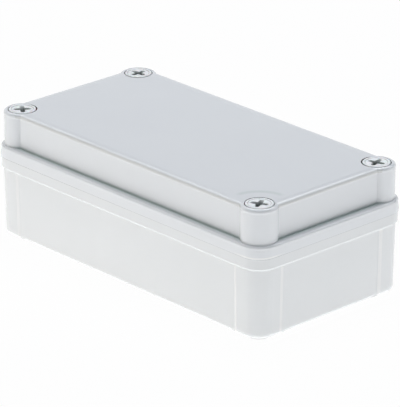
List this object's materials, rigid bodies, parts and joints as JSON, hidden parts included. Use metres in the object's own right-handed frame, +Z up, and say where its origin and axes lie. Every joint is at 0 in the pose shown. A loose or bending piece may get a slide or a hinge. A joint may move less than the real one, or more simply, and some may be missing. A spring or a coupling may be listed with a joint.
{
  "type": "junction box",
  "caption": "Plain-walled rectangular plastic junction box with an inset screw-down cover, round corner screw columns and a sealing cord, for housing wire joints or a small circuit board.",
  "frame": {"origin": "middle of the underside, on the plane of the feet", "axes": "+X along the length, +Y along the width, +Z up towards the cover"},
  "size_m": [0.1588, 0.0818, 0.0551],
  "materials": {
    "base_moulding": "light grey satin moulding",
    "cover_moulding": "light grey satin moulding",
    "sealing_cord": "soft grey foam rubber",
    "cover_screw": "light grey polyamide"
  },
  "bodies": {
    "base": {"base": "base_moulding", "gasket": "sealing_cord"},
    "cover": {"cover": "cover_moulding"},
    "screw_front_right": {"screw_front_right": "cover_screw"},
    "screw_back_right": {"screw_back_right": "cover_screw"},
    "screw_front_left": {"screw_front_left": "cover_screw"},
    "screw_back_left": {"screw_back_left": "cover_screw"}
  },
  "joints": [
    {"name": "cover_lift", "type": "slide", "parent": "base", "child": "cover", "axis": [0, 0, 1], "range_m": [0, 0.08]},
    {"name": "screw_front_right_turn", "type": "hinge", "parent": "cover", "child": "screw_front_right", "pos_m": [0.0705, -0.032, 0.05], "axis": [0, 0, 1], "range_deg": [0, 1125]},
    {"name": "screw_back_right_turn", "type": "hinge", "parent": "cover", "child": "screw_back_right", "pos_m": [0.0705, 0.032, 0.05], "axis": [0, 0, 1], "range_deg": [0, 1125]},
    {"name": "screw_front_left_turn", "type": "hinge", "parent": "cover", "child": "screw_front_left", "pos_m": [-0.0705, -0.032, 0.05], "axis": [0, 0, 1], "range_deg": [0, 1125]},
    {"name": "screw_back_left_turn", "type": "hinge", "parent": "cover", "child": "screw_back_left", "pos_m": [-0.0705, 0.032, 0.05], "axis": [0, 0, 1], "range_deg": [0, 1125]}
  ]
}
